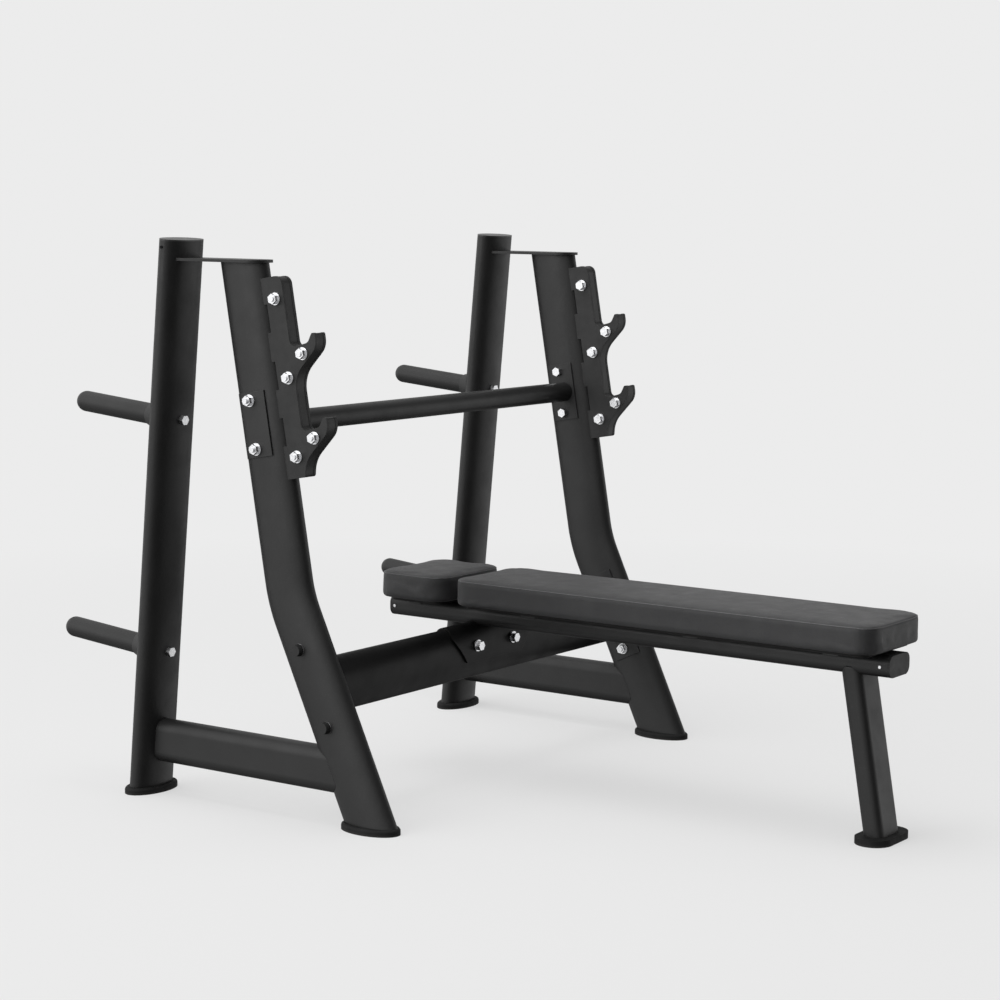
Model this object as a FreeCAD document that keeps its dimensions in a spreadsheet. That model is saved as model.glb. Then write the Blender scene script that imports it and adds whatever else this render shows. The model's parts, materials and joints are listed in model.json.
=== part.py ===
import FreeCAD, Part
import math
import os
import Sketcher
from FreeCAD import Placement, Rotation, Vector

# Olympic bench press. Millimetres, +Z up, X across the bench, -Y towards the foot end.
# The origin is on the floor, under the middle of the whole part.

SIZES = {
    # side frames: two oval-tube uprights each
    "frame_spacing": 1134, "frame_depth": 620,
    "tube_long": 120, "tube_short": 60, "tube_wall": 3,
    "rear_length": 1202, "rear_lean": 5.1, "lid_thickness": 3, "spigot_length": 26,
    "bend_height": 462, "low_lean": 25, "high_lean": 10, "bend_radius": 300,
    "foot_thickness": 14, "foot_margin": 11, "foot_round": 3,
    "plate_height": 1155, "plate_thickness": 6, "plate_width": 78, "plate_reach": 64,
    "brace_height": 116, "brace_tall": 96, "brace_wide": 50,
    # weight horns on the rear uprights
    "horn_diameter": 45, "horn_reach": 242, "horn_low": 315.5, "horn_high": 820.5, "horn_wall": 4,
    "plug_length": 45, "horn_bolt_bite": 36, "root_step": 2.5, "root_gap": 1,
    "collar_base": 43, "collar_nose": 25, "collar_length": 26,
    # upper cross tube and lower cross member
    "cross_along": 368, "cross_diameter": 46, "saddle_thickness": 4, "saddle_width": 74,
    "backing_length": 136, "backing_pitch": 101, "backing_setback": 9,
    "member_height": 287, "flange_length": 214, "flange_pitch": 170,
    # bar hooks: heights along the upper tube's axis, depths forward of the tube's front
    "hook_top": 662, "hook_bottom": 246.5, "hook_depth": 44, "hook_root": 14, "hook_foot": 36,
    "throat_high": 512.5, "throat_pitch": 173, "rest_reach": 91, "rest_lift": 4, "finger_rise": 22,
    "finger_inner": 104, "finger_outer": 112.5, "jaw_drop": 8, "root_drop": 60,
    "cheek_thickness": 7, "core_thickness": 20, "core_inset": 0.6, "slot_length": 58, "slot_gap": 1.5,
    "low_slot_rise": 97.6, "middle_slot_rise": 214, "high_slot_rise": 332.4,
    "top_round": 18, "throat_round": 13, "rest_round": 14, "tip_round": 4.5,
    "jaw_round": 34, "root_round": 60, "foot_round": 6,
    # hook bolts: depths forward of the tube's front, drops below the hook's top or the throats
    "top_bolt_reach": 22.5, "top_bolt_drop": 46, "rest_bolt_reach": 75, "rest_bolt_drop": 16,
    "high_bolt_reach": 29, "high_bolt_drop": 60, "low_bolt_reach": 23, "low_bolt_drop": 49,
    # bench
    "rail_height": 366.3, "rail_wide": 90, "rail_tall": 45.5, "rail_corner": 17, "lid_depth": 6,
    "rail_front": 901, "rail_rear": 363, "leg_floor": 872.5, "leg_lean": 10,
    "leg_foot_wide": 146, "leg_foot_deep": 79,
    "pad_wide": 250, "pad_thickness": 58, "pad_bottom": 399.5, "pad_corner": 46,
    "pad_rear": 348, "head_length": 190, "pad_gap": 18, "main_length": 1040,
    "board_thickness": 8, "board_inset": 24, "bracket_wide": 200, "bracket_deep": 40, "bracket_corner": 6,
    "rear_bracket_setback": 197.6, "middle_bracket_setback": 431.6, "front_bracket_setback": 104,
    "carrier_width": 300, "carrier_thickness": 5, "carrier_drop": 17, "carrier_taper": 46,
    "carrier_bolt_pitch": 136, "carrier_bolt_rise": 18,
    # fasteners
    "bolt_diameter": 12, "bolt_hole": 13, "nut_across": 19, "nut_height": 10,
    "washer_diameter": 26, "washer_thickness": 2.5, "cover_wall": 2,
    "screw_diameter": 3.6, "screw_head": 2, "screw_head_diameter": 6.5, "screw_length": 16,
    "screw_setback": 14, "front_screw_setback": 21.5,
}
SIDES = (("left", -1), ("right", 1))
LEVELS = (("lower", "horn_low"), ("upper", "horn_high"))
SHARP = 0.1  # how much a round end stays short of a full half circle
BLOCK = 4000  # edge of the helper boxes that trim pieces

doc = FreeCAD.newDocument("olympic_bench_press")
sheet = doc.addObject("Spreadsheet::Sheet", "Sizes")
for row, (alias, number) in enumerate(SIZES.items(), 1):
    sheet.set(f"A{row}", alias.replace("_", " "))
    sheet.set(f"B{row}", str(number))
    sheet.setAlias(f"B{row}", alias)
doc.recompute()
finished = []


def size(alias):
    """A driving dimension, as a number."""
    return float(sheet.get(alias))


def tan(alias):
    return math.tan(math.radians(size(alias)))


def cos(alias):
    return math.cos(math.radians(size(alias)))


# ---------------------------------------------------------------- where things are
HALF = size("frame_spacing") / 2
LONG = size("tube_long") / 2
SHORT = size("tube_short") / 2
FLOOR = size("foot_thickness")
WASHER = size("washer_thickness")

horn_tip = SHORT + size("horn_reach")
tail = size("frame_depth") - tan("rear_lean") * size("horn_low") + horn_tip * cos("rear_lean")
nose = tan("leg_lean") * FLOOR / 2 - size("leg_floor") - size("leg_foot_deep") / 2
FRONT_FOOT = -(tail + nose) / 2  # Y of the front upright's axis at the floor
REAR_FOOT = FRONT_FOOT + size("frame_depth")  # Y of the rear upright's axis at the floor

ALONG_X = Rotation(Vector(0, 1, 0), 90)
ALONG_MINUS_X = Rotation(Vector(0, 1, 0), -90)
ALONG_Y = Rotation(Vector(1, 0, 0), -90)
QUARTER = Rotation(Vector(0, 0, 1), 90)
FLIP = Rotation(Vector(1, 0, 0), 180)


def front_line(height):
    """Y of the front upright's lower axis at a height."""
    return FRONT_FOOT + tan("low_lean") * height


def rear_line(height):
    """Y of the rear upright's axis at a height."""
    return REAR_FOOT - tan("rear_lean") * height


def at(x, y, z, turn=None):
    return Placement(Vector(x, y, z), turn or Rotation())


def shift(frame, x=0, y=0, z=0, turn=None):
    return frame * at(x, y, z, turn)


def lean(x, y, z, degrees):
    """A frame at (x, y, z) whose Z runs up a piece that leans towards +Y by degrees."""
    return at(x, y, z, Rotation(Vector(1, 0, 0), -degrees))


def rear_frame(side, along=0):
    """On the rear upright's axis, Z up the tube."""
    return shift(lean(side * HALF, REAR_FOOT, 0, -size("rear_lean")), z=along)


def high_frame(side, along=0):
    """On the front upright's upper axis, Z up the tube and Y to the rear."""
    bend = size("bend_height")
    return shift(lean(side * HALF, front_line(bend), bend, size("high_lean")), z=along)


def low_frame(side, height):
    """On the front upright's lower axis, Z up the tube and Y to the rear."""
    return lean(side * HALF, front_line(height), height, size("low_lean"))


def outward(side):
    """Turns Z away from the bench's middle."""
    return ALONG_X if side > 0 else ALONG_MINUS_X


# ---------------------------------------------------------------- document helpers
def add(kind, name, place=None, **expressions):
    """A document object whose sizes follow the sheet."""
    obj = doc.addObject(kind, name)
    for prop, expression in expressions.items():
        obj.setExpression(prop, expression)
    if place:
        obj.Placement = place
    return obj


def cut(base, *tools):
    for tool in tools:
        result = doc.addObject("Part::Cut", "cut")
        result.Base = base
        result.Tool = tool
        base = result
    return base


def common(base, tool):
    result = doc.addObject("Part::Common", "common")
    result.Base = base
    result.Tool = tool
    return result


def fuse(*shapes):
    result = doc.addObject("Part::MultiFuse", "fuse")
    result.Shapes = list(shapes)
    return result


def finish(node, obj):
    """Names a finished sub-part after its node and keeps it for the export."""
    obj.Label = node
    finished.append(obj)
    return obj


def group(node, pieces):
    """Separate solids that share one node."""
    result = doc.addObject("Part::Compound", "group")
    result.Links = list(pieces)
    return finish(node, result)


def box(name, place, length, width, height):
    """A box with its middle at the frame's origin."""
    result = add("Part::Box", name, None, Length=length, Width=width, Height=height)
    doc.recompute([result])
    half = Vector(result.Length.Value, result.Width.Value, result.Height.Value) / 2
    result.Placement = shift(place, -half.x, -half.y, -half.z)
    return result


def half_space(name, height, way):
    """Everything above (way 1) or below (way -1) a height."""
    return box(name, at(0, 0, height + way * BLOCK / 2), str(BLOCK), str(BLOCK), str(BLOCK))


def cylinder(name, place, radius, height):
    return add("Part::Cylinder", name, place, Radius=radius, Height=height)


def oval(name, place, length, grow="0"):
    """A solid bar of the uprights' oval, up the frame's Z, its long side along X."""
    section = add(
        "Part::Ellipse", f"{name}_section",
        MajorRadius=f"Sizes.tube_long / 2 + {grow}", MinorRadius=f"Sizes.tube_short / 2 + {grow}",
    )
    bar = add("Part::Extrusion", name, None, LengthFwd=length)
    bar.Base = section
    bar.DirMode = "Custom"
    bar.Dir = Vector(0, 0, 1)
    bar.Solid = True
    bar.Placement = place
    return bar


def outline(body, role, corners):
    """A closed polygon sketch on an origin plane; each corner is a pair of expressions."""
    sketch = body.newObject("Sketcher::SketchObject", "outline")
    plane = next(item for item in body.Origin.OriginFeatures if item.Role == role)
    sketch.AttachmentSupport = [(plane, "")]
    sketch.MapMode = "FlatFace"
    count = len(corners)
    angles = [2 * math.pi * index / count for index in range(count + 1)]
    rough = [Vector(100 * math.cos(angle), 100 * math.sin(angle), 0) for angle in angles]
    for start, end in zip(rough, rough[1:]):
        sketch.addGeometry(Part.LineSegment(start, end), False)
    for index in range(count):
        sketch.addConstraint(Sketcher.Constraint("Coincident", index, 2, (index + 1) % count, 1))
    for index, corner in enumerate(corners):
        for kind, expression in zip(("DistanceX", "DistanceY"), corner):
            number = sketch.addConstraint(Sketcher.Constraint(kind, -1, 1, index, 1, 1.0))
            sketch.setExpression(f"Constraints[{number}]", expression)
    return sketch


def corner_edges(feature, sketch, corners):
    """Names of the edges that a pad draws out of the given sketch corners."""
    spots = [sketch.Placement.multVec(sketch.Geometry[index].StartPoint) for index in corners]
    way = sketch.Placement.Rotation.multVec(Vector(0, 0, 1))
    names = []
    for number, edge in enumerate(feature.Shape.Edges, 1):
        if len(edge.Vertexes) != 2 or edge.Curve.TypeId != "Part::GeomLine":
            continue
        start, end = (vertex.Point for vertex in edge.Vertexes)
        if (end - start).cross(way).Length > 1e-3 * (end - start).Length:
            continue
        if any((start - spot).cross(way).Length < 1e-3 for spot in spots):
            names.append(f"Edge{number}")
    return names


def plate(name, role, corners, length, rounds=(), place=None):
    """A body: an outline padded both ways, with some of its corners rounded."""
    body = doc.addObject("PartDesign::Body", name)
    sketch = outline(body, role, corners)
    feature = body.newObject("PartDesign::Pad", "pad")
    feature.Profile = sketch
    feature.SideType = "Symmetric"
    feature.setExpression("Length", length)
    doc.recompute()
    for corner_numbers, radius in rounds:
        fillet = body.newObject("PartDesign::Fillet", "fillet")
        fillet.Base = (feature, corner_edges(feature, sketch, corner_numbers))
        fillet.setExpression("Radius", radius)
        doc.recompute()
        feature = fillet
    if place:
        body.Placement = place
    return body


def rectangle(wide, tall):
    wide, tall = f"({wide}) / 2", f"({tall}) / 2"
    return [(f"-{wide}", f"-{tall}"), (wide, f"-{tall}"), (wide, tall), (f"-{wide}", tall)]


def slab(name, wide, deep, thick, radius, place):
    """A rounded rectangle in the frame's XY, its thickness half up and half down."""
    return plate(name, "XY_Plane", rectangle(wide, deep), thick, [(range(4), radius)], place)


# ---------------------------------------------------------------- fasteners
def washer(place):
    """Washer whose lower face is on the frame's XY plane."""
    ring = cylinder("washer_disc", place, "Sizes.washer_diameter / 2", "Sizes.washer_thickness")
    middle = cylinder("washer_hole", place, "Sizes.bolt_hole / 2", "Sizes.washer_thickness")
    return cut(ring, middle)


def hexagon(name, place):
    """Bolt head or nut blank, standing on the frame's XY plane."""
    radius = "Sizes.nut_across / sqrt(3)"
    prism = add("Part::Prism", name, place, Circumradius=radius, Height="Sizes.nut_height")
    prism.Polygon = 6
    return prism


def nut(place):
    bore = cylinder("nut_bore", place, "Sizes.bolt_diameter / 2", "Sizes.nut_height")
    return cut(hexagon("nut_blank", place), bore)


def bolt(place, length):
    """Hexagon bolt: its head is below the frame's XY plane, its shank runs up Z."""
    head = hexagon("bolt_head", shift(place, z=-size("nut_height")))
    return fuse(head, cylinder("bolt_shank", place, "Sizes.bolt_diameter / 2", length))


def cover(place):
    """Black cap over a bolt head, standing on the frame's XY plane."""
    shell = add("Part::Cone", "cover_shell", place, Radius1="Sizes.washer_diameter / 2",
                Radius2="Sizes.washer_diameter / 2 - Sizes.cover_wall",
                Height="Sizes.nut_height + Sizes.cover_wall")
    return cut(shell, cylinder("cover_room", place, "Sizes.nut_across / sqrt(3)", "Sizes.nut_height"))


def drill(place):
    """A bolt hole along the frame's Z, as long on both sides of its origin."""
    start = shift(place, z=-2 * LONG)
    return cylinder("drill", start, "Sizes.bolt_hole / 2", "2 * Sizes.tube_long")


def joint(spots, depth, near, far, washed_heads=True):
    """Bolts with a washer under each nut and, if washed_heads, under each head.

    Each spot's Z runs from head to nut; the two seats are near and far from its origin."""
    length = f"{depth} + 3 * Sizes.washer_thickness + Sizes.nut_height"
    rest = near + WASHER if washed_heads else near
    bolts = [bolt(shift(spot, z=-rest), length) for spot in spots]
    washers = [washer(shift(spot, z=far)) for spot in spots]
    if washed_heads:
        washers += [washer(shift(spot, z=-rest)) for spot in spots]
    nuts = [nut(shift(spot, z=far + WASHER)) for spot in spots]
    return bolts, washers, nuts


# ---------------------------------------------------------------- places of the bolts
def horn_frame(side, height):
    """On the rear upright's axis, Z pointing out along the horn."""
    return shift(rear_frame(side, size(height) / cos("rear_lean")), turn=ALONG_Y)


def backing_spots(side):
    half_pitch = size("backing_pitch") / 2
    middle = shift(high_frame(side, size("cross_along")), y=size("backing_setback"), turn=outward(side))
    return [shift(middle, x=step) for step in (half_pitch, -half_pitch)]


def flange_spots(side):
    half_pitch = size("flange_pitch") / 2
    middle = shift(low_frame(side, size("member_height")), turn=outward(-side))
    return [shift(middle, x=step) for step in (half_pitch, -half_pitch)]


def hook_spots(side):
    """Five bolts: one at the top, and two at each bar rest."""
    high = size("throat_high")
    low = high - size("throat_pitch")
    rest = size("rest_bolt_reach")
    drop = size("rest_bolt_drop")
    spots = [
        (size("top_bolt_reach"), size("hook_top") - size("top_bolt_drop")),
        (rest, high - drop), (size("high_bolt_reach"), high - size("high_bolt_drop")),
        (rest, low - drop), (size("low_bolt_reach"), low - size("low_bolt_drop")),
    ]
    return [shift(high_frame(side, along), y=-LONG - reach, turn=outward(side)) for reach, along in spots]


def carrier_spots():
    """Through the cross member, one each side of the rail, Z to the rear."""
    height = size("member_height")
    half_pitch = size("carrier_bolt_pitch") / 2
    rise = size("carrier_bolt_rise")
    return [at(x, front_line(height), height + rise, ALONG_Y) for x in (-half_pitch, half_pitch)]


def rail_screw_spots():
    """Screws in both flanks near each end of the rail, Z pointing inwards."""
    ends = (size("rail_rear") - size("screw_setback"), size("front_screw_setback") - size("rail_front"))
    return [at(side * size("rail_wide") / 2, FRONT_FOOT + y, size("rail_height"), outward(-side))
            for y in ends for _, side in SIDES]


def lid_screw_spot(side):
    """Screw in the outer edge of a rear upright, just under its lid."""
    top = rear_frame(side, size("rear_length") - size("screw_setback"))
    return shift(top, x=side * LONG, turn=outward(-side))


# ---------------------------------------------------------------- side frames
def rear_upright(name, side):
    outer = oval("rear_solid", rear_frame(side), "Sizes.rear_length")
    bore = oval("rear_bore", rear_frame(side), "Sizes.rear_length", "-Sizes.tube_wall")
    drills = [drill(horn_frame(side, height)) for _, height in LEVELS]
    finish(f"{name}_rear_upright", cut(outer, bore, ground, *drills, screw(lid_screw_spot(side))))
    return outer


def rear_cap(name, side):
    """Plug: a lid on the tube's end and a spigot inside it."""
    top = rear_frame(side, size("rear_length"))
    lid = oval("lid", top, "Sizes.lid_thickness")
    spigot = oval("spigot", shift(top, z=-size("spigot_length")), "Sizes.spigot_length", "-Sizes.tube_wall")
    finish(f"{name}_rear_cap", cut(fuse(lid, spigot), screw(lid_screw_spot(side))))


def front_axis(side):
    """The front upright's axis as a sketch: two straight runs and the bend between them."""
    low, high = (math.radians(size(key)) for key in ("low_lean", "high_lean"))
    low_way = Vector(math.sin(low), math.cos(low), 0)
    high_way = Vector(math.sin(high), math.cos(high), 0)
    tangent = size("bend_radius") * math.tan((low - high) / 2)
    start = low_way * -(size("bend_height") / math.cos(low) + LONG)
    end = high_way * ((size("plate_height") - size("bend_height")) / math.cos(high) + LONG)
    centre = low_way * -tangent + Vector(-low_way.y, low_way.x, 0) * size("bend_radius")
    circle = Part.Circle(centre, Vector(0, 0, 1), size("bend_radius"))
    sketch = doc.addObject("Sketcher::SketchObject", "front_axis")
    sketch.addGeometry(Part.LineSegment(start, low_way * -tangent), False)
    sketch.addGeometry(Part.ArcOfCircle(circle, -low, -high), False)
    sketch.addGeometry(Part.LineSegment(high_way * tangent, end), False)
    sketch.addConstraint(Sketcher.Constraint("Tangent", 0, 2, 1, 1))
    sketch.addConstraint(Sketcher.Constraint("Tangent", 1, 2, 2, 1))
    radius = sketch.addConstraint(Sketcher.Constraint("Radius", 1, size("bend_radius")))
    sketch.setExpression(f"Constraints[{radius}]", "Sizes.bend_radius")
    upright = Rotation(Vector(0, 1, 0), Vector(0, 0, 1), Vector(1, 0, 0), "XYZ")
    bend = size("bend_height")
    sketch.Placement = at(side * HALF, front_line(bend), bend, upright)
    return sketch, sketch.Placement.multVec(start)


def front_sweep(name, side, grow):
    sketch, foot_end = front_axis(side)
    section = add(
        "Part::Ellipse", f"{name}_section",
        shift(lean(foot_end.x, foot_end.y, foot_end.z, size("low_lean")), turn=QUARTER),
        MajorRadius=f"Sizes.tube_long / 2 + {grow}", MinorRadius=f"Sizes.tube_short / 2 + {grow}",
    )
    sweep = doc.addObject("Part::Sweep", name)
    sweep.Sections = [section]
    sweep.Spine = (sketch, ["Edge1", "Edge2", "Edge3"])
    sweep.Solid = True
    return sweep


def front_upright(name, side):
    outer = front_sweep("front_solid", side, "0")
    bore = front_sweep("front_bore", side, "-Sizes.tube_wall")
    drills = [drill(spot) for spot in backing_spots(side) + flange_spots(side)]
    finish(f"{name}_front_upright", cut(outer, bore, ground, sky, *drills))
    return outer


def foot(node, place):
    """Oval foot with a rounded upper edge."""
    disc = oval("foot_disc", place, "Sizes.foot_thickness", "Sizes.foot_margin")
    doc.recompute([disc.Base, disc])
    rounded = doc.addObject("Part::Fillet", "foot_round")
    rounded.Base = disc
    radius = size("foot_round")
    flat = [(number, edge.BoundBox) for number, edge in enumerate(disc.Shape.Edges, 1)
            if edge.BoundBox.ZLength < radius]
    rounded.Edges = [(number, radius, radius) for number, span in flat if span.ZMax > FLOOR / 2]
    finish(node, rounded)


def feet(name, side):
    foot(f"{name}_rear_foot", at(side * HALF, rear_line(FLOOR), 0))
    foot(f"{name}_front_foot", at(side * HALF, front_line(FLOOR), 0, QUARTER))


def top_plate(name, side, rear_solid):
    """Flat strip with a round front end, coped to the rear upright."""
    height = size("plate_height")
    bend = size("bend_height")
    front = front_line(bend) + tan("high_lean") * (height - bend) - size("plate_reach")
    rear = rear_line(height)
    middle = at(side * HALF, (front + rear) / 2, height + size("plate_thickness") / 2)
    strip = plate("strip", "XY_Plane", rectangle("Sizes.plate_width", str(rear - front)),
                  "Sizes.plate_thickness", [((0, 1), f"Sizes.plate_width / 2 - {SHARP}")], middle)
    finish(f"{name}_top_plate", cut(strip, rear_solid))


def side_brace(name, side, front_solid, rear_solid):
    """Flat oval tube between the uprights, coped at both ends."""
    height = size("brace_height")
    start, end = front_line(height), rear_line(height)
    place = at(side * HALF, (start + end) / 2, height, ALONG_Y)
    length = str(end - start)
    wall = "2 * Sizes.tube_wall"
    outer = slab("brace_solid", "Sizes.brace_wide", "Sizes.brace_tall", length,
                 f"Sizes.brace_wide / 2 - {SHARP}", place)
    bore = slab("brace_bore", f"Sizes.brace_wide - {wall}", f"Sizes.brace_tall - {wall}", length,
                f"Sizes.brace_wide / 2 - Sizes.tube_wall - {SHARP}", place)
    finish(f"{name}_side_brace", cut(outer, bore, front_solid, rear_solid))


# ---------------------------------------------------------------- weight horns
def horn(node, side, height, rear_solid):
    """Round tube with a dome end, a narrower root and a threaded plug inside."""
    root = horn_frame(side, height)
    radius = "Sizes.horn_diameter / 2"
    inner = f"{radius} - Sizes.horn_wall"
    dome_reach = f"(Sizes.tube_short / 2 + Sizes.horn_reach - {radius})"
    root_reach = "(Sizes.tube_short / 2 + Sizes.collar_length + Sizes.root_gap)"
    plug_reach = "(Sizes.tube_short / 2 + Sizes.plug_length)"
    shoulder = shift(root, z=SHORT + size("collar_length") + size("root_gap"))
    dome = shift(root, z=SHORT + size("horn_reach") - size("horn_diameter") / 2)
    hollow_start = shift(root, z=SHORT + size("plug_length"))
    outer = fuse(cylinder("horn_root", root, f"{radius} - Sizes.root_step", root_reach),
                 cylinder("horn_bar", shoulder, radius, f"{dome_reach} - {root_reach}"),
                 add("Part::Sphere", "horn_dome", dome, Radius=radius))
    hollow = fuse(cylinder("horn_bore", hollow_start, inner, f"{dome_reach} - {plug_reach}"),
                  add("Part::Sphere", "horn_cup", dome, Radius=inner))
    thread = cylinder("horn_thread", root, "Sizes.bolt_diameter / 2", plug_reach)
    finish(node, cut(outer, hollow, thread, rear_solid))


def collar(node, side, height, rear_solid):
    """Cone around the horn's root, coped to the back of the upright."""
    root = horn_frame(side, height)
    cone = add("Part::Cone", "collar_cone", root, Radius1="Sizes.collar_base",
               Radius2="Sizes.collar_nose", Height="Sizes.tube_short / 2 + Sizes.collar_length")
    bore = cylinder("collar_bore", root, "Sizes.horn_diameter / 2 - Sizes.root_step", "Sizes.tube_long")
    finish(node, cut(cone, bore, rear_solid))


def horn_bolts():
    """From the front of the rear uprights into the horns' plugs, without washers."""
    seats = [shift(horn_frame(side, height), z=-SHORT) for _, side in SIDES for _, height in LEVELS]
    group("horn_bolts", [bolt(seat, "Sizes.tube_short + Sizes.horn_bolt_bite") for seat in seats])


# ---------------------------------------------------------------- bar hooks
def bar_rest(throat, inset):
    """Corners of one bar rest, from its root up round the finger to its throat."""
    front = "Sizes.tube_long / 2"
    tip = f"{throat} + Sizes.finger_rise - {inset}"
    return [
        (f"-({front} + Sizes.hook_depth - {inset})", f"{throat} - Sizes.root_drop"),
        (f"-({front} + Sizes.finger_outer - {inset})", f"{throat} - Sizes.jaw_drop"),
        (f"-({front} + Sizes.finger_outer - {inset})", tip),
        (f"-({front} + Sizes.finger_inner + {inset} / 2)", tip),
        (f"-({front} + Sizes.rest_reach)", f"{throat} + Sizes.rest_lift - {inset}"),
    ]


def hook_layer(name, inset, thickness, place):
    """One layer of the sandwich, in the upper tube's frame: forward is -Y, up the tube is Z."""
    high = "Sizes.throat_high"
    low = "(Sizes.throat_high - Sizes.throat_pitch)"
    front = f"-(Sizes.tube_long / 2 + Sizes.hook_depth - {inset})"
    foot = f"-(Sizes.tube_long / 2 + Sizes.hook_foot - {inset})"
    rear = "-(Sizes.tube_long / 2 - Sizes.hook_root)"
    top, bottom = f"Sizes.hook_top - {inset}", f"Sizes.hook_bottom + {inset}"
    corners = [
        (rear, top), (rear, bottom), (foot, bottom), *bar_rest(low, inset), (front, f"{low} - {inset}"),
        *bar_rest(high, inset), (front, f"{high} - {inset}"), (front, top),
    ]
    # Corners 3 to 7 and 9 to 13 are the two rests, each from its root to its throat.
    rounds = [((4, 10), "Sizes.jaw_round"), ((15,), "Sizes.top_round"), ((8, 14), "Sizes.throat_round"),
              ((3, 9), "Sizes.root_round"), ((7, 13), "Sizes.rest_round"), ((2,), "Sizes.foot_round"),
              ((5, 6, 11, 12), f"Sizes.tip_round - {inset} / 2")]
    return plate(name, "YZ_Plane", corners, thickness, rounds, place)


def slots(place):
    """Three gaps between a cheek's rear edge and the tube."""
    rises = ("low_slot_rise", "middle_slot_rise", "high_slot_rise")
    heights = [size("hook_bottom") + size(rise) for rise in rises]
    return [box("slot", shift(place, y=size("slot_gap") - LONG + SHORT, z=height),
                "2 * Sizes.cheek_thickness", "Sizes.tube_short", "Sizes.slot_length") for height in heights]


def hook(name, side, front_solid):
    frame = high_frame(side)
    step = (size("core_thickness") + size("cheek_thickness")) / 2
    drills = [drill(spot) for spot in hook_spots(side)]
    for kind, way in (("outer", side), ("inner", -side)):
        place = shift(frame, x=way * step)
        cheek = hook_layer(f"{kind}_cheek", "0", "Sizes.cheek_thickness", place)
        finish(f"{name}_hook_{kind}_plate", cut(cheek, front_solid, *slots(place), *drills))
    core = hook_layer("core", "Sizes.core_inset", "Sizes.core_thickness", frame)
    finish(f"{name}_hook_core", cut(core, front_solid, *drills))


def hook_joint(side):
    face = size("core_thickness") / 2 + size("cheek_thickness")
    return joint(hook_spots(side), "Sizes.core_thickness + 2 * Sizes.cheek_thickness", face, face)


# ---------------------------------------------------------------- cross tube and cross member
def saddle(node, place, side, length, setback, drills):
    """A plate rolled round one flank of an oval tube; side picks the flank in X."""
    turned = shift(place, turn=QUARTER)
    outer = oval("saddle_outer", turned, length, "Sizes.saddle_thickness")
    inner = oval("saddle_inner", turned, length)
    centre = shift(place, x=side * BLOCK / 2, y=setback)
    window = box("saddle_window", centre, str(BLOCK), "Sizes.saddle_width", str(BLOCK))
    finish(node, cut(common(outer, window), inner, *drills))


def cross_saddles(name, side):
    """The cross tube's flange inside and its backing plate outside."""
    drills = [drill(spot) for spot in backing_spots(side)]
    place = high_frame(side, size("cross_along") - size("backing_length") / 2)
    for kind, flank in (("cross_flange", -side), ("backing_plate", side)):
        setback = size("backing_setback")
        saddle(f"{name}_{kind}", place, flank, "Sizes.backing_length", setback, drills)


def cross_joint(side):
    face = SHORT + size("saddle_thickness")
    depth = "Sizes.tube_short + 2 * Sizes.saddle_thickness"
    return joint(backing_spots(side), depth, face, face, washed_heads=False)


def lower_flange(name, side):
    drills = [drill(spot) for spot in flange_spots(side)]
    place = shift(low_frame(side, size("member_height")), z=-size("flange_length") / 2)
    saddle(f"{name}_lower_flange", place, -side, "Sizes.flange_length", 0, drills)


def lower_joint(side):
    """Heads outside, nuts on the flange inside."""
    depth = "Sizes.tube_short + Sizes.saddle_thickness"
    return joint(flange_spots(side), depth, SHORT, SHORT + size("saddle_thickness"))


def copes(frame_of, alias):
    """Both front uprights with their flanges on, as tools that cope a cross piece."""
    return [oval("cope", shift(frame_of(side), z=-size(alias) / 2, turn=QUARTER), f"Sizes.{alias}",
                 "Sizes.saddle_thickness") for _, side in SIDES]


def cross_tube():
    start = shift(high_frame(-1, size("cross_along")), turn=ALONG_X)
    outer = cylinder("cross_solid", start, "Sizes.cross_diameter / 2", "Sizes.frame_spacing")
    bore = cylinder("cross_bore", start, "Sizes.cross_diameter / 2 - Sizes.tube_wall", "Sizes.frame_spacing")
    ends = copes(lambda side: high_frame(side, size("cross_along")), "backing_length")
    finish("cross_tube", cut(outer, bore, *ends))


def member_frame(reach):
    """Reach left of the middle on the cross member's axis: Z across the bench, X down."""
    height = size("member_height")
    return at(-reach, front_line(height), height, ALONG_X)


def cross_member():
    outer = oval("member_solid", member_frame(HALF), "Sizes.frame_spacing")
    bore = oval("member_bore", member_frame(HALF), "Sizes.frame_spacing", "-Sizes.tube_wall")
    ends = copes(lambda side: low_frame(side, size("member_height")), "flange_length")
    drills = [drill(spot) for spot in carrier_spots()]
    finish("cross_member", cut(outer, bore, *ends, *drills))


# ---------------------------------------------------------------- bench
def rail_carrier():
    """Plate folded over the cross member, wide on top and tapering down both flanks."""
    start = member_frame(size("carrier_width") / 2)
    outer = oval("carrier_outer", start, "Sizes.carrier_width", "Sizes.carrier_thickness")
    inner = oval("carrier_inner", start, "Sizes.carrier_width")
    top, low = "Sizes.carrier_width / 2", "(Sizes.carrier_width / 2 - Sizes.carrier_taper)"
    shoulder, rim, drop = "Sizes.tube_long / 3", "Sizes.tube_long", "-Sizes.carrier_drop"
    corners = [(f"-{low}", drop), (low, drop), (top, shoulder), (top, rim), (f"-{top}", rim),
               (f"-{top}", shoulder)]
    height = size("member_height")
    window = plate("carrier_window", "XZ_Plane", corners, "2 * Sizes.tube_long", (),
                   at(0, front_line(height), height))
    drills = [drill(spot) for spot in carrier_spots()]
    finish("rail_carrier", cut(common(outer, window), inner, *drills))


def carrier_joint():
    face = SHORT + size("carrier_thickness")
    return joint(carrier_spots(), "Sizes.tube_short + 2 * Sizes.carrier_thickness", face, face)


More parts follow.
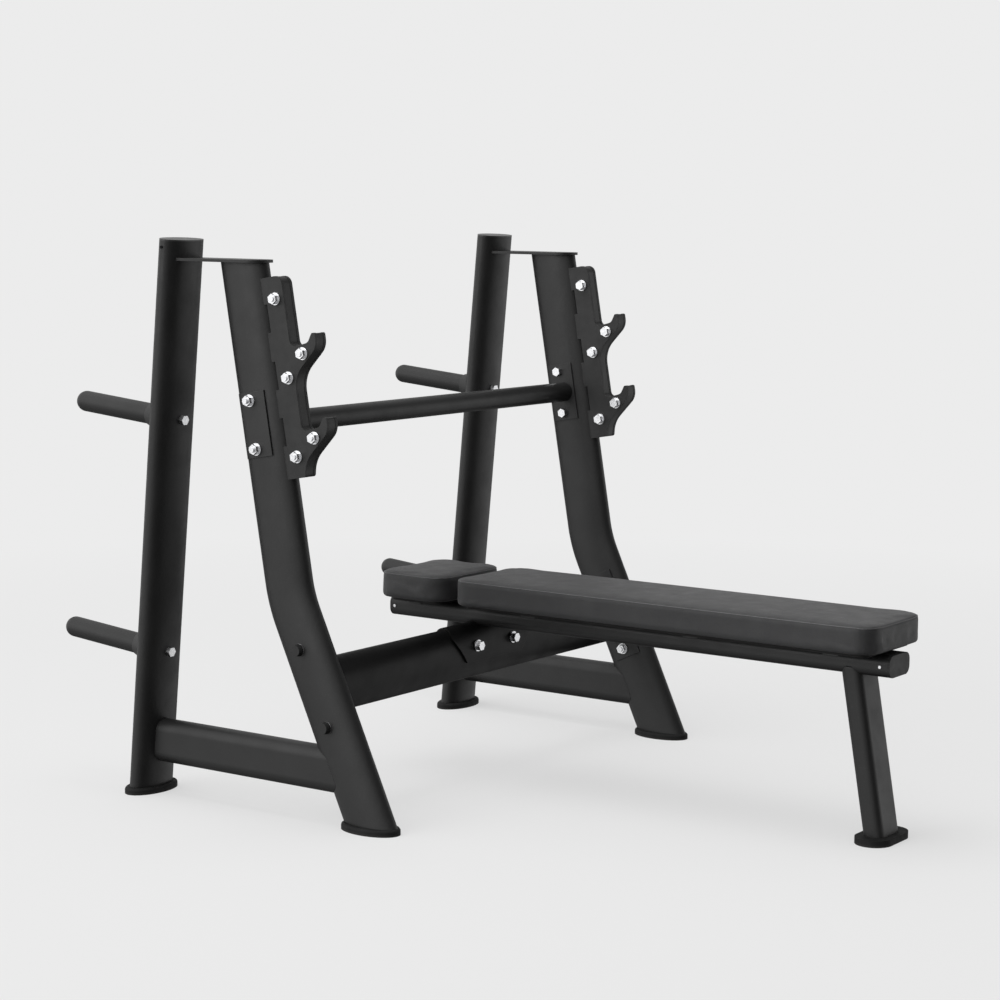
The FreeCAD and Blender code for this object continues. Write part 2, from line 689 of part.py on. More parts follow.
def flat_tube(name, length, place):
    """The rail's section as a solid and as the bore inside it."""
    wall = "2 * Sizes.tube_wall"
    outer = slab(f"{name}_solid", "Sizes.rail_wide", "Sizes.rail_tall", length, "Sizes.rail_corner", place)
    bore = slab(f"{name}_bore", f"Sizes.rail_wide - {wall}", f"Sizes.rail_tall - {wall}", length,
                "Sizes.rail_corner - Sizes.tube_wall", place)
    return outer, bore


def screw(place):
    """Shank of a small screw, from the frame's XY plane inwards."""
    return cylinder("screw_shank", place, "Sizes.screw_diameter / 2", "Sizes.screw_length")


def rail():
    """Flat oval tube, coped over the carrier; its two ends take plastic plugs."""
    middle = FRONT_FOOT + (size("rail_rear") - size("rail_front")) / 2
    length = "Sizes.rail_front + Sizes.rail_rear - 2 * Sizes.lid_depth"
    outer, bore = flat_tube("rail", length, at(0, middle, size("rail_height"), ALONG_Y))
    cope = oval("rail_cope", member_frame(size("carrier_width") / 2), "Sizes.carrier_width",
                "Sizes.carrier_thickness")
    finish("bench_rail", cut(outer, bore, cope, *[screw(spot) for spot in rail_screw_spots()]))
    return outer


def rail_cap(node, end, way):
    """Plastic plug: a lid as big as the rail and a spigot inside it."""
    depth = size("lid_depth")
    face = at(0, FRONT_FOOT + end, size("rail_height"), ALONG_Y)
    lid, _ = flat_tube("lid", "Sizes.lid_depth", shift(face, z=-way * depth / 2))
    spigot_middle = depth + size("spigot_length") / 2
    _, spigot = flat_tube("spigot", "Sizes.spigot_length", shift(face, z=-way * spigot_middle))
    finish(node, cut(fuse(lid, spigot), *[screw(spot) for spot in rail_screw_spots()]))


def cap_screws():
    screws = []
    for place in rail_screw_spots() + [lid_screw_spot(side) for _, side in SIDES]:
        head_place = shift(place, z=-size("screw_head"))
        head = cylinder("screw_head", head_place, "Sizes.screw_head_diameter / 2", "Sizes.screw_head")
        screws.append(fuse(head, screw(place)))
    group("cap_screws", screws)


def leg(rail_solid):
    axis = lean(0, FRONT_FOOT - size("leg_floor"), 0, size("leg_lean"))
    middle = shift(axis, z=size("rail_height") / cos("leg_lean") / 2)
    outer, bore = flat_tube("leg", "Sizes.rail_height / cos(Sizes.leg_lean * 1 deg)", middle)
    finish("bench_leg", cut(outer, bore, ground, rail_solid))


def leg_foot():
    y = FRONT_FOOT - size("leg_floor") + tan("leg_lean") * FLOOR / 2
    slab_round = f"Sizes.leg_foot_deep / 2 - {SHARP}"
    finish("leg_foot", slab("leg_foot", "Sizes.leg_foot_wide", "Sizes.leg_foot_deep",
                            "Sizes.foot_thickness", slab_round, at(0, y, FLOOR / 2)))


def cushion(name, middle, length):
    """Soft pad and the plywood board under it."""
    y = FRONT_FOOT + middle
    pad_height = size("pad_bottom") + size("pad_thickness") / 2
    board_height = size("pad_bottom") - size("board_thickness") / 2
    inset = "2 * Sizes.board_inset"
    finish(f"{name}_pad", slab(f"{name}_pad", "Sizes.pad_wide", length, "Sizes.pad_thickness",
                               "Sizes.pad_corner", at(0, y, pad_height)))
    finish(f"{name}_board", slab(f"{name}_board", f"Sizes.pad_wide - {inset}", f"{length} - {inset}",
                                 "Sizes.board_thickness", "Sizes.pad_corner - Sizes.board_inset",
                                 at(0, y, board_height)))


def pad_middles():
    """Middle of each pad, measured rearward from the front foot."""
    head_front = size("pad_rear") - size("head_length")
    main_rear = head_front - size("pad_gap")
    return (size("pad_rear") + head_front) / 2, main_rear - size("main_length") / 2


def brackets(head_middle, main_middle):
    """Cross strips between the rail and the boards, set back from the pads' ends."""
    low = size("rail_height") + size("rail_tall") / 2
    high = size("pad_bottom") - size("board_thickness")
    rear_end = main_middle + size("main_length") / 2
    front_end = main_middle - size("main_length") / 2
    middles = {"head_bracket": head_middle,
               "rear_bracket": rear_end - size("rear_bracket_setback"),
               "middle_bracket": front_end + size("middle_bracket_setback"),
               "front_bracket": front_end + size("front_bracket_setback")}
    for node, middle in middles.items():
        place = at(0, FRONT_FOOT + middle, (low + high) / 2)
        finish(node, slab(node, "Sizes.bracket_wide", "Sizes.bracket_deep", str(high - low),
                          "Sizes.bracket_corner", place))


# ---------------------------------------------------------------- the whole bench
ground = half_space("ground", FLOOR, -1)
sky = half_space("sky", size("plate_height"), 1)
joints = {"hook_bolts": [], "cross_bolts": [], "member_bolts": [], "carrier_bolts": [carrier_joint()]}
covers = []

for side_name, side in SIDES:
    rear_solid = rear_upright(side_name, side)
    front_solid = front_upright(side_name, side)
    rear_cap(side_name, side)
    feet(side_name, side)
    top_plate(side_name, side, rear_solid)
    side_brace(side_name, side, front_solid, rear_solid)
    for level, height in LEVELS:
        horn(f"{side_name}_{level}_horn", side, height, rear_solid)
        collar(f"{side_name}_{level}_collar", side, height, rear_solid)
    hook(side_name, side, front_solid)
    cross_saddles(side_name, side)
    lower_flange(side_name, side)
    joints["hook_bolts"].append(hook_joint(side))
    joints["cross_bolts"].append(cross_joint(side))
    joints["member_bolts"].append(lower_joint(side))
    covers += [cover(shift(spot, z=-SHORT - WASHER, turn=FLIP)) for spot in flange_spots(side)]

cross_tube()
cross_member()
rail_carrier()
rail_solid = rail()
rail_cap("rail_front_cap", -size("rail_front"), -1)
rail_cap("rail_rear_cap", size("rail_rear"), 1)
cap_screws()
leg(rail_solid)
leg_foot()
head_middle, main_middle = pad_middles()
cushion("head", head_middle, "Sizes.head_length")
cushion("main", main_middle, "Sizes.main_length")
brackets(head_middle, main_middle)

horn_bolts()
all_washers = []
all_nuts = []
for node, sets in joints.items():
    group(node, [piece for bolts, _, _ in sets for piece in bolts])
    all_washers += [piece for _, washers, _ in sets for piece in washers]
    all_nuts += [piece for _, _, nuts in sets for piece in nuts]
group("washers", all_washers)
group("nuts", all_nuts)
group("bolt_covers", covers)

# ---------------------------------------------------------------- check and write
doc.recompute()
for obj in doc.Objects:
    if "Invalid" in obj.State or "Error" in obj.State:
        raise RuntimeError(f"{obj.Name} ({obj.Label}) failed: {obj.State}")
os.makedirs("parts", exist_ok=True)
for obj in finished:
    if obj.Shape.isNull() or not obj.Shape.isValid():
        raise RuntimeError(f"{obj.Label} has no valid shape")
    obj.Shape.exportStep(f"parts/{obj.Label}.step")
print(f"{len(finished)} sub-parts written")
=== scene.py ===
import json
import math

import bmesh
import bpy
from mathutils import Matrix, Vector
from mathutils.bvhtree import BVHTree

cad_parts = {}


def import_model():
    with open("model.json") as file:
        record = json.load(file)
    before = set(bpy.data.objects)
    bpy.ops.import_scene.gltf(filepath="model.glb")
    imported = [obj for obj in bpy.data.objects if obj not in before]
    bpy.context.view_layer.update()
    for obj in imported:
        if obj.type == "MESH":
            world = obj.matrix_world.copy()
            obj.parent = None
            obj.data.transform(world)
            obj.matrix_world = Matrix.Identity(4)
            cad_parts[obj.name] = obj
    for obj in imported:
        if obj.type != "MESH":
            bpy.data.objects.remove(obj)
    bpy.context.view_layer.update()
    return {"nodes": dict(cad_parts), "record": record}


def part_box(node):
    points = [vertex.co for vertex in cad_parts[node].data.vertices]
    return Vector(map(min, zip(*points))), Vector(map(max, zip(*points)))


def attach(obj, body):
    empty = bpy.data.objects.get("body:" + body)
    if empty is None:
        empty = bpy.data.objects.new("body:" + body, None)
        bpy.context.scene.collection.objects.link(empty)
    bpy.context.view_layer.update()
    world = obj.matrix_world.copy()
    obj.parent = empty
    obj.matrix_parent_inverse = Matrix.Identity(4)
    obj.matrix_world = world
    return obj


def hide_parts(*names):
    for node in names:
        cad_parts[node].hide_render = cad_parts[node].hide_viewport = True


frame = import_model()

MM = 0.001


# ---------------------------------------------------------------- shader helpers
BEVEL_SAMPLES = 4
SHARP_EDGE, FLAT = 0.80, 0.985  # cosines between the rounded and the true normal


class Surface:
    """A procedural material, built round one Principled shader in the object's own metres."""

    def __init__(self, name):
        self.material = bpy.data.materials.new(name)
        self.material.use_nodes = True
        self.nodes = self.material.node_tree.nodes
        self.links = self.material.node_tree.links
        self.shader = self.nodes["Principled BSDF"]
        self.place = self.nodes.new("ShaderNodeTexCoord").outputs["Object"]

    def set(self, **values):
        """Fixed values on the shader's sockets; in names, an underscore stands for a space."""
        for name, value in values.items():
            self.shader.inputs[name.replace("_", " ")].default_value = value
        return self

    def node(self, kind, inputs=(), **settings):
        made = self.nodes.new(kind)
        for name, value in settings.items():
            setattr(made, name, value)
        for name, value in dict(inputs).items():
            if isinstance(value, bpy.types.NodeSocket):
                self.links.new(value, made.inputs[name])
            else:
                made.inputs[name].default_value = value
        return made

    def height(self):
        """Height above the floor in metres."""
        return self.node("ShaderNodeSeparateXYZ", {"Vector": self.place}).outputs["Z"]

    def noise(self, size, detail=3.0, stretch=(1, 1, 1)):
        """Cloudy pattern whose grains are about size metres across."""
        scaled = self.node("ShaderNodeMapping", {"Vector": self.place, "Scale": stretch})
        inputs = {"Vector": scaled.outputs["Vector"], "Scale": 1 / size, "Detail": detail}
        return self.node("ShaderNodeTexNoise", inputs).outputs["Fac"]

    def ramp(self, value, low, high, start=0.3, end=0.7):
        """Turns a 0 to 1 pattern into numbers or colours between low and high."""
        if isinstance(low, tuple):
            ramp = self.node("ShaderNodeValToRGB", {"Fac": value})
            for stop, position, colour in zip(ramp.color_ramp.elements, (start, end), (low, high)):
                stop.position = position
                stop.color = (*colour, 1)
            return ramp.outputs["Color"]
        inputs = {"Value": value, "From Min": start, "From Max": end, "To Min": low, "To Max": high}
        return self.node("ShaderNodeMapRange", inputs).outputs["Result"]

    def mix(self, share, first, second):
        """Blends two colours; share is a pattern."""
        mixer = self.node("ShaderNodeMix", data_type="RGBA")
        self.links.new(share, mixer.inputs["Factor"])
        for socket, value in ((mixer.inputs["A"], first), (mixer.inputs["B"], second)):
            if isinstance(value, bpy.types.NodeSocket):
                self.links.new(value, socket)
            else:
                socket.default_value = (*value, 1)
        return mixer.outputs["Result"]

    def edges(self, width):
        """1 along the object's sharp edges, fading to 0 within width metres."""
        rounded = self.node("ShaderNodeBevel", {"Radius": width}, samples=BEVEL_SAMPLES)
        flat = self.node("ShaderNodeNewGeometry").outputs["Normal"]
        inputs = {0: rounded.outputs["Normal"], 1: flat}
        facing = self.node("ShaderNodeVectorMath", inputs, operation="DOT_PRODUCT")
        return self.ramp(facing.outputs["Value"], 1.0, 0.0, SHARP_EDGE, FLAT)

    def bump(self, *layers, rounding=0.0):
        """Stacks height patterns, each (pattern, strength, height in metres), on rounded edges."""
        normal = None
        if rounding:
            rounded = self.node("ShaderNodeBevel", {"Radius": rounding}, samples=BEVEL_SAMPLES)
            normal = rounded.outputs["Normal"]
        for pattern, strength, height in layers:
            inputs = {"Height": pattern, "Strength": strength, "Distance": height}
            bump = self.node("ShaderNodeBump", inputs)
            if normal:
                self.links.new(normal, bump.inputs["Normal"])
            normal = bump.outputs["Normal"]
        self.links.new(normal, self.shader.inputs["Normal"])

    def feed(self, **sockets):
        """Patterns into the shader's sockets, named as in set."""
        for name, value in sockets.items():
            self.links.new(value, self.shader.inputs[name.replace("_", " ")])


# ---------------------------------------------------------------- materials
# Sizes given to noise, edges and bump are in metres; the other numbers are shader values.
def grey(tone, blue=0.0):
    """A grey, or one that is a little bluer."""
    return (tone, tone, tone + blue)


def powder_coat(name, dark, light, shine):
    """Satin black coat: fine orange peel, faint clouding, dust and rubbed edges."""
    made = Surface(name).set(Specular_IOR_Level=shine, Coat_Weight=0.06, Coat_Roughness=0.25)
    cloud = made.ramp(made.noise(0.16), grey(dark), grey(light))
    fleck = made.ramp(made.noise(0.0022, 2), grey(0), grey(1), 0.60, 0.72)
    dusty = made.mix(fleck, cloud, grey(light * 1.5))
    rubbed = made.mix(made.edges(0.0016), dusty, grey(light * 2.5))
    made.feed(Base_Color=rubbed, Roughness=made.ramp(made.noise(0.05), 0.40, 0.52))
    waves, peel = made.noise(0.012, 2), made.noise(0.0016, 2)
    made.bump((waves, 0.12, 0.0004), (peel, 0.22, 0.0002), rounding=0.0012)
    return made.material


def vinyl():
    """Upholstery vinyl: pebbled grain, soft creases and a low sheen."""
    made = Surface("black_vinyl").set(Specular_IOR_Level=0.5, Sheen_Weight=0.12, Sheen_Roughness=0.4)
    inputs = {"Vector": made.place, "Scale": 620.0, "Randomness": 0.9}
    pebbles = made.node("ShaderNodeTexVoronoi", inputs, feature="DISTANCE_TO_EDGE").outputs["Distance"]
    grain = made.ramp(pebbles, 0.0, 1.0, 0.0, 0.16)
    tone = made.ramp(made.noise(0.09), grey(0.026, 0.001), grey(0.036, 0.001))
    pebbled = made.mix(grain, grey(0.015, 0.001), tone)
    made.feed(Base_Color=pebbled, Roughness=made.ramp(made.noise(0.03), 0.50, 0.62))
    creases, pores = made.noise(0.09, 2), made.noise(0.0011, 2)
    made.bump((creases, 0.05, 0.001), (grain, 0.35, 0.00018), (pores, 0.10, 0.0001))
    return made.material


def piping_with_painted_highlight():
    """Piping covered in the same vinyl, coloured lighter as a painted highlight along the pad's upper
    edge.
    """
    made = Surface("seam_vinyl_painted_highlight").set(Specular_IOR_Level=0.5)
    # painted highlight: the piping's colour is several times lighter than the cover's, standing for the
    # light line along the pad's upper edge
    tone = made.ramp(made.noise(0.004), grey(0.075, 0.002), grey(0.125, 0.002))
    made.feed(Base_Color=tone, Roughness=made.ramp(made.noise(0.02), 0.42, 0.55))
    made.bump((made.noise(0.0012, 2), 0.3, 0.0001))
    return made.material


BRIGHT_UP_TO, BLACK_FROM = 1.12, 1.14  # heights between the highest bolts and the lids' screws


def zinc():
    """Bright zinc plate: faint turning marks, spots, an uneven shine, and black at the lids."""
    made = Surface("bright_zinc").set(Metallic=1.0)
    spots = made.ramp(made.noise(0.0035), (0.74, 0.75, 0.77), (0.92, 0.92, 0.93))
    worn = made.mix(made.edges(0.0005), spots, grey(0.97))
    marks = made.noise(0.0009, 2, (1, 1, 6))
    at_lids = made.ramp(made.height(), 0.0, 1.0, BRIGHT_UP_TO, BLACK_FROM)
    blacked = made.mix(at_lids, worn, grey(0.012, 0.001))
    made.feed(Base_Color=blacked, Roughness=made.ramp(made.noise(0.006), 0.20, 0.36))
    made.bump((marks, 0.12, 0.0001), rounding=0.0006)
    return made.material


def moulded(name, dark, light, roughness, grain=0.0012, shine=0.4):
    """Moulded plastic: flow clouding, fine spark-eroded grain and paler scuffed edges."""
    made = Surface(name).set(Specular_IOR_Level=shine)
    flow = made.ramp(made.noise(0.03, 4), grey(dark), grey(light))
    scuffed = made.mix(made.edges(0.0012), flow, grey(light * 2.2))
    uneven = made.ramp(made.noise(0.02), roughness - 0.05, roughness + 0.07)
    made.feed(Base_Color=scuffed, Roughness=uneven)
    made.bump((made.noise(grain, 2), 0.25, 0.00015), rounding=0.001)
    return made.material


def rubber():
    """Foot rubber: matt, with dust low down."""
    made = Surface("foot_rubber").set(Specular_IOR_Level=0.25)
    base = made.ramp(made.noise(0.02, 4), grey(0.010), grey(0.017))
    dust = made.ramp(made.height(), 0.5, 0.0, 0.0, 0.006)
    dusty = made.mix(dust, base, (0.05, 0.048, 0.045))
    made.feed(Base_Color=dusty, Roughness=made.ramp(made.noise(0.01), 0.68, 0.85))
    made.bump((made.noise(0.0015, 3), 0.35, 0.0003), rounding=0.0015)
    return made.material


def stained_board():
    """Black-stained plywood: long dark grain with the layers' lines on its edges."""
    made = Surface("stained_board").set(Specular_IOR_Level=0.3)
    grain = made.noise(0.004, 4, (1, 0.06, 1))
    inputs = {"Vector": made.place, "Scale": 260.0, "Distortion": 0.6}
    layers = made.node("ShaderNodeTexWave", inputs, bands_direction="Z").outputs["Fac"]
    tone = made.ramp(grain, grey(0.006), (0.012, 0.011, 0.011))
    ply = made.mix(made.ramp(layers, 0.0, 0.4), tone, (0.016, 0.015, 0.014))
    made.feed(Base_Color=ply, Roughness=made.ramp(grain, 0.6, 0.8))
    made.bump((grain, 0.4, 0.0003))
    return made.material


FINISHES = {
    "black_coat": powder_coat("powder_coat", 0.0115, 0.0165, 0.42),
    "pad_vinyl": vinyl(),
    "plywood": stained_board(),
    "zinc": zinc(),
    "black_plastic": moulded("cap_plastic", 0.012, 0.018, 0.52),
    "lid_plastic": moulded("lid_plastic", 0.030, 0.042, 0.34, shine=0.6),
    "foot_rubber": rubber(),
    "hook_nylon": moulded("hook_nylon", 0.016, 0.023, 0.50),
}
# Painted shade: a blacker, less shiny copy of the frame's powder coat.
SHADED_COAT = powder_coat("painted_shade_powder_coat", 0.004, 0.006, 0.16)
SHADED_NODES = ("cross_member", "rail_carrier")  # painted shade: these nodes get a blacker, duller copy of the coat, standing in for the shade that falls on them under the bench


def dress_frame():
    """Gives every CAD node the finish of its material slot, except that the cross member and rail carrier
    get the darker copy of the coat as painted shade.
    """
    for entry in frame["record"]["subparts"]:
        name = entry["node"]
        finish = SHADED_COAT if name in SHADED_NODES else FINISHES[entry["material_slot"]]
        for holder in frame["nodes"][name].material_slots:
            holder.material = finish


# ---------------------------------------------------------------- soft pads
CORNER = 46 * MM  # the pads' corner radius in plan
SHOULDER = 6 * MM  # rounding of their upper and lower edges
SHOULDER_STEPS = 4
SLACK = 1 * MM  # how much smaller than the CAD block a pad starts
VOXEL = 5 * MM
PRESSURE = 4.0  # of the foam against the cover
CLOTH_FRAMES = 20
SWELL = 2 * MM  # the most that the simulation may move a point
RISE = 2.5 * MM  # how much higher the middle of the top is than its edges
WAIST = 0.8 * MM  # how far the long sides draw in between corners
WELT_RADIUS = 1 * MM
WELT_DROP = 1 * MM  # from the block's top to the middle of the welt
WELT_PROUD = 0.1 * MM  # how far the welt's middle stands off the cover
WELT_STEP = 12 * MM


def plan_outline(half_x, half_y, radius, steps=8):
    """Points of a rounded rectangle, anticlockwise."""
    points = []
    for quarter, (sign_x, sign_y) in enumerate(((1, 1), (-1, 1), (-1, -1), (1, -1))):
        middle = Vector((sign_x * (half_x - radius), sign_y * (half_y - radius)))
        for step in range(steps + 1):
            angle = (quarter + step / steps) * math.pi / 2
            points.append(middle + radius * Vector((math.cos(angle), math.sin(angle))))
    return points


def block_mesh(name, low, high):
    """A closed slab with rounded plan corners and rounded upper and lower edges."""
    centre, half = (low + high) / 2, (high - low) / 2
    turns = [math.pi / 2 * step / SHOULDER_STEPS for step in range(SHOULDER_STEPS + 1)]
    lower = [(SHOULDER * (1 - math.sin(turn)), low.z + SHOULDER * (1 - math.cos(turn))) for turn in turns]
    upper = [(inset, low.z + high.z - height) for inset, height in reversed(lower)]
    form = bmesh.new()
    rings = []
    for inset, height in lower + upper:
        outline = plan_outline(half.x - inset, half.y - inset, CORNER - inset)
        spots = [(centre.x + point.x, centre.y + point.y, height) for point in outline]
        rings.append([form.verts.new(spot) for spot in spots])
    for below, above in zip(rings, rings[1:]):
        for index in range(len(below)):
            after = (index + 1) % len(below)
            form.faces.new((below[index], below[after], above[after], above[index]))
    form.faces.new(list(reversed(rings[0])))
    form.faces.new(rings[-1])
    mesh = bpy.data.meshes.new(name)
    form.to_mesh(mesh)
    form.free()
    return mesh


def apply_modifiers(piece):
    """Keeps the shape that the modifiers make, and drops them."""
    graph = bpy.context.evaluated_depsgraph_get()
    shaped = bpy.data.meshes.new_from_object(piece.evaluated_get(graph))
    piece.modifiers.clear()
    piece.data = shaped


def inflate(piece, floor):
    """Cloth under pressure from inside, moved by SWELL at most and kept flat on its board."""
    start = [vertex.co.copy() for vertex in piece.data.vertices]
    resting = piece.vertex_groups.new(name="resting")
    lowest = [index for index, spot in enumerate(start) if spot.z < floor + VOXEL / 2]
    resting.add(lowest, 1.0, "REPLACE")
    cloth = piece.modifiers.new("cloth", "CLOTH")
    cloth.settings.use_pressure = True
    cloth.settings.uniform_pressure_force = PRESSURE
    cloth.settings.effector_weights.gravity = 0.0
    cloth.settings.vertex_group_mass = "resting"
    cloth.settings.quality = 5
    cloth.point_cache.frame_start, cloth.point_cache.frame_end = 1, CLOTH_FRAMES
    for step in range(1, CLOTH_FRAMES + 1):
        bpy.context.scene.frame_set(step)
    apply_modifiers(piece)
    bpy.context.scene.frame_set(1)
    for vertex, spot in zip(piece.data.vertices, start):
        move = vertex.co - spot
        if move.length > SWELL:
            vertex.co = spot + move * (SWELL / move.length)


def crown(piece, low, high):
    """Lifts the top towards its middle and draws the long sides in a little between corners."""
    centre, half = (low + high) / 2, (high - low) / 2
    for vertex in piece.data.vertices:
        across = (vertex.co.x - centre.x) / half.x
        along = (vertex.co.y - centre.y) / half.y
        height = (vertex.co.z - low.z) / (high.z - low.z)
        between_ends = max(0.0, 1 - along ** 4)
        bulge = max(0.0, 1 - across ** 2) * between_ends
        vertex.co.z += RISE * bulge * max(0.0, height - 0.5) * 2
        vertex.co.x -= WAIST * across * between_ends * height


def keep_within(piece, low, high):
    """Holds the pad inside its CAD block, apart from its crown."""
    for vertex in piece.data.vertices:
        vertex.co.x = min(max(vertex.co.x, low.x), high.x)
        vertex.co.y = min(max(vertex.co.y, low.y), high.y)
        vertex.co.z = max(vertex.co.z, low.z)


def piping(name, pad, low, high):
    """A thin welt round the pad near its top, pressed into its cover."""
    centre, half = (low + high) / 2, (high - low) / 2
    surface = BVHTree.FromPolygons(
        [vertex.co for vertex in pad.data.vertices], [face.vertices for face in pad.data.polygons])
    curve = bpy.data.curves.new(name, "CURVE")
    curve.dimensions = "3D"
    curve.bevel_depth = WELT_RADIUS
    curve.bevel_resolution = 2
    outline = plan_outline(half.x + SLACK, half.y + SLACK, CORNER, 12)
    dense = []
    for here, there in zip(outline, outline[1:] + outline[:1]):
        count = max(1, round((there - here).length / WELT_STEP))
        dense += [here.lerp(there, step / count) for step in range(count)]
    spline = curve.splines.new("POLY")
    spline.points.add(len(dense) - 1)
    spline.use_cyclic_u = True
    for point, spot in zip(spline.points, dense):
        outside = Vector((centre.x + spot.x, centre.y + spot.y, high.z - WELT_DROP))
        nearest, normal, _, _ = surface.find_nearest(outside)
        point.co = (*(nearest + normal * WELT_PROUD), 1)
    bead = bpy.data.objects.new(name, curve)
    bpy.context.scene.collection.objects.link(bead)
    curve.materials.append(piping_with_painted_highlight())
    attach(bead, "root")


def soft_pad(node):
    """A stuffed pad in place of its CAD block, with a welt along its upper edge."""
    low, high = (Vector(corner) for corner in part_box(node))
    inside = Vector((SLACK, SLACK, 0))
    start_low, start_high = low + inside, high - inside - Vector((0, 0, SLACK))
    pad = bpy.data.objects.new(f"{node}_cover", block_mesh(f"{node}_cover", start_low, start_high))
    bpy.context.scene.collection.objects.link(pad)
    remesh = pad.modifiers.new("remesh", "REMESH")
    remesh.mode = "VOXEL"
    remesh.voxel_size = VOXEL
    remesh.use_smooth_shade = True
    apply_modifiers(pad)
    inflate(pad, start_low.z)
    crown(pad, low, high)
    keep_within(pad, low, high)
    smooth = pad.modifiers.new("smooth", "SMOOTH")
    smooth.factor = 0.4
    smooth.iterations = 2
    pad.modifiers.new("finer", "SUBSURF").levels = 1
    apply_modifiers(pad)
    for face in pad.data.polygons:
        face.use_smooth = True
    pad.data.materials.clear()
    pad.data.materials.append(FINISHES["pad_vinyl"])
    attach(pad, "root")
    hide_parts(node)
    piping(f"{node}_welt", pad, low, high)


# ---------------------------------------------------------------- studio
BACKDROP = 0.838  # brightness of the plain background, as light
FLOOR_SHARE = 0.36  # how much of the floor's brightness the lights give; the rest glows evenly
FLOOR_TONE = 0.30
FLOOR_REACH = 60.0
FADE_START, FADE_END = 1.4, 4.0  # distances from the bench between which the floor turns into backdrop
WHITE = (1, 1, 1, 1)


def floor():
    """A pale floor with faint shadows that fades into the background far from the bench."""
    mesh = bpy.data.meshes.new("studio_floor")
    signs = ((-1, -1), (1, -1), (1, 1), (-1, 1))
    corners = [(sign_x * FLOOR_REACH, sign_y * FLOOR_REACH, 0) for sign_x, sign_y in signs]
    mesh.from_pydata(corners, [], [(0, 1, 2, 3)])
    plane = bpy.data.objects.new("studio_floor", mesh)
    bpy.context.scene.collection.objects.link(plane)
    plane.visible_diffuse = plane.visible_glossy = False
    made = Surface("studio_floor").set(Roughness=1.0, Specular_IOR_Level=0.0)
    made.set(Base_Color=(*grey(FLOOR_TONE), 1), Emission_Color=WHITE)
    made.set(Emission_Strength=BACKDROP * (1 - FLOOR_SHARE))
    glow = made.node("ShaderNodeEmission", {"Color": WHITE, "Strength": BACKDROP})
    distance = made.node("ShaderNodeVectorMath", {0: made.place}, operation="LENGTH").outputs["Value"]
    far = made.ramp(distance, 0.0, 1.0, FADE_START, FADE_END)
    blend = made.node("ShaderNodeMixShader", {"Fac": far})
    made.links.new(made.shader.outputs["BSDF"], blend.inputs[1])
    made.links.new(glow.outputs["Emission"], blend.inputs[2])
    made.links.new(blend.outputs["Shader"], made.nodes["Material Output"].inputs["Surface"])
    mesh.materials.append(made.material)


UP = (0, 0, 1)
# The studio round the bench: (direction that the light comes from, its brightness, how tightly it
# is held to that direction, from 0 to 1).
WALLS = (
    ((-0.85, 0.5, 0.1), 1.6, 0),  # left and behind
    ((0.7, 0.7, 0.1), 0.64, 0.35),  # right and behind
    (UP, 0.6, 0.4),  # ceiling
    ((0.8, -0.6, -0.35), 1.6, 0.68),  # low, right and in front
)
DIM = 0.1  # brightness of the darkest wall
GROUND_SHARE = 0.45  # how much of a wall's brightness is left well below the horizon
GROUND_FROM, GROUND_TO = -0.35, 0.06  # heights of a direction between which that share grows to 1


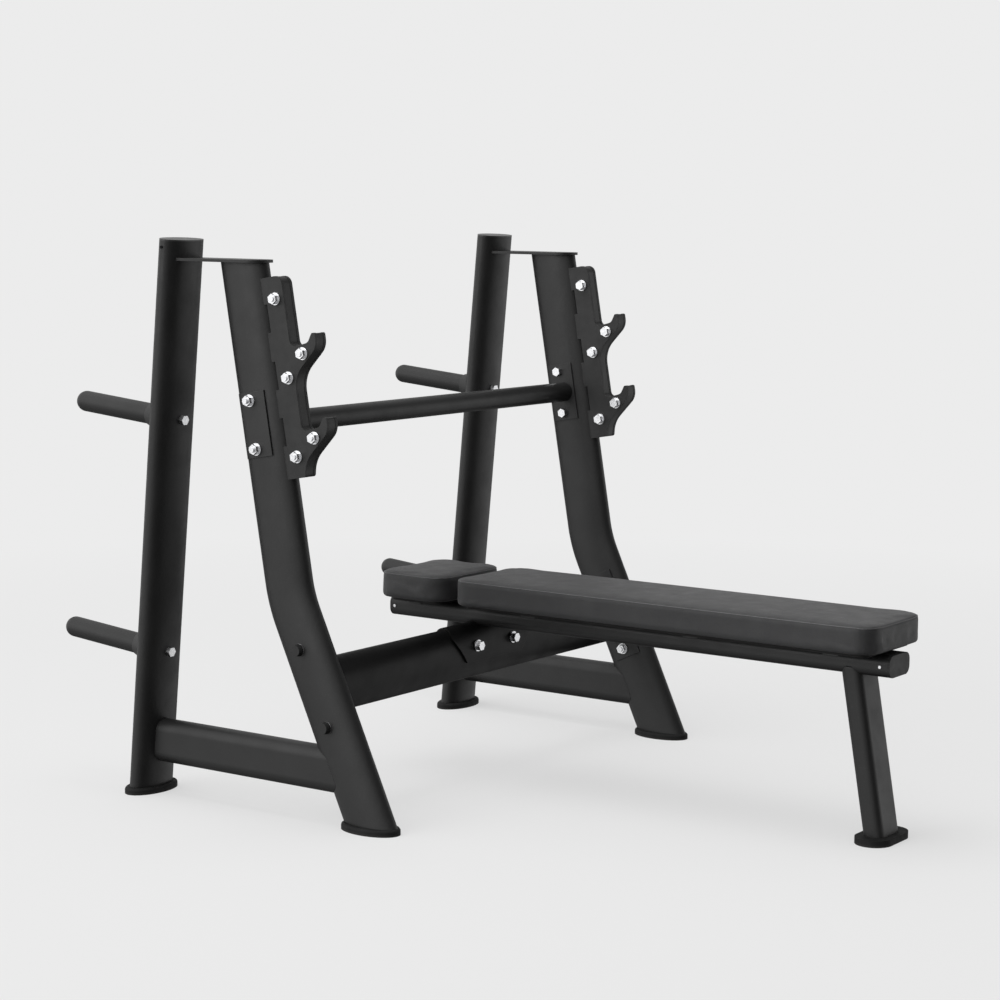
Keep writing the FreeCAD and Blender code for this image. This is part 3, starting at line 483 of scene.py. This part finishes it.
def world():
    """The backdrop's brightness to the camera; to the bench, walls and ceiling of their own."""
    sky = bpy.data.worlds.new("studio")
    sky.use_nodes = True
    nodes, links = sky.node_tree.nodes, sky.node_tree.links
    direction = nodes.new("ShaderNodeTexCoord").outputs["Generated"]

    def facing(way):
        dot = nodes.new("ShaderNodeVectorMath")
        dot.operation = "DOT_PRODUCT"
        links.new(direction, dot.inputs[0])
        dot.inputs[1].default_value = Vector(way).normalized()
        return dot.outputs["Value"]

    def scaled(value, start, end, low, high):
        ranged = nodes.new("ShaderNodeMapRange")
        links.new(value, ranged.inputs["Value"])
        for name, number in (("From Min", start), ("From Max", end), ("To Min", low), ("To Max", high)):
            ranged.inputs[name].default_value = number
        return ranged.outputs["Result"]

    def joined(operation, first, second):
        maths = nodes.new("ShaderNodeMath")
        maths.operation = operation
        links.new(first, maths.inputs[0])
        links.new(second, maths.inputs[1])
        return maths.outputs["Value"]

    darkest = nodes.new("ShaderNodeValue").outputs["Value"]
    darkest.default_value = DIM
    light = darkest
    for way, brightness, hold in WALLS:
        light = joined("ADD", light, scaled(facing(way), hold, 1, 0, brightness))
    shade = scaled(facing(UP), GROUND_FROM, GROUND_TO, GROUND_SHARE, 1)
    light = joined("MULTIPLY", light, shade)
    lit = nodes.new("ShaderNodeBackground")
    links.new(light, lit.inputs["Strength"])
    shown = nodes["Background"]
    shown.inputs["Color"].default_value = WHITE
    shown.inputs["Strength"].default_value = BACKDROP
    rays = nodes.new("ShaderNodeLightPath")
    blend = nodes.new("ShaderNodeMixShader")
    links.new(rays.outputs["Is Camera Ray"], blend.inputs["Fac"])
    links.new(lit.outputs["Background"], blend.inputs[1])
    links.new(shown.outputs["Background"], blend.inputs[2])
    links.new(blend.outputs["Shader"], nodes["World Output"].inputs["Surface"])
    bpy.context.scene.world = sky


# Each soft light: name, place, the spot that it faces, width of its square in metres, watts.
SOFTBOXES = (
    ("overhead", (-0.5, 0.6, 4.6), (0, 0, 0.4), 2.4, 52),
    ("left_wall", (-5.0, 1.6, 2.4), (0, 0.1, 0.7), 3.0, 38),
)


def softbox(name, spot, target, width, power):
    """A square area light at spot, facing target."""
    lamp = bpy.data.lights.new(name, "AREA")
    lamp.shape = "SQUARE"
    lamp.size, lamp.energy = width, power
    holder = bpy.data.objects.new(name, lamp)
    turn = (Vector(target) - Vector(spot)).to_track_quat("-Z", "Y").to_matrix().to_4x4()
    holder.matrix_world = Matrix.Translation(spot) @ turn
    bpy.context.scene.collection.objects.link(holder)


SENSOR = 36  # millimetres, as the lens
LENS = 88.85
CLIP_END = 200  # metres, past the floor's far corners
LENS_SHIFT = (-0.0332, 0.0359)
CAMERA_SPOT = (-4.4493, -3.0420, 1.2945)
HEADING, PITCH, ROLL = -55.442, -7.826, 0.528  # degrees from +Y, up and about the line of sight


def camera():
    """The photograph's viewpoint: in front of the left side frame, a little above the lids."""
    data = bpy.data.cameras.new("camera")
    data.sensor_width = SENSOR
    data.lens = LENS
    data.shift_x, data.shift_y = LENS_SHIFT
    data.clip_end = CLIP_END
    holder = bpy.data.objects.new("camera", data)
    heading, pitch, roll = (math.radians(angle) for angle in (HEADING, PITCH, ROLL))
    turn = Matrix.Rotation(heading, 4, "Z") @ Matrix.Rotation(math.pi / 2 + pitch, 4, "X")
    turn = turn @ Matrix.Rotation(roll, 4, "Z")
    holder.matrix_world = Matrix.Translation(CAMERA_SPOT) @ turn
    bpy.context.scene.collection.objects.link(holder)
    bpy.context.scene.camera = holder


dress_frame()
for pad_node in ("head_pad", "main_pad"):
    soft_pad(pad_node)
floor()
world()
for softbox_values in SOFTBOXES:
    softbox(*softbox_values)
camera()
bpy.context.scene.view_settings.view_transform = "Standard"
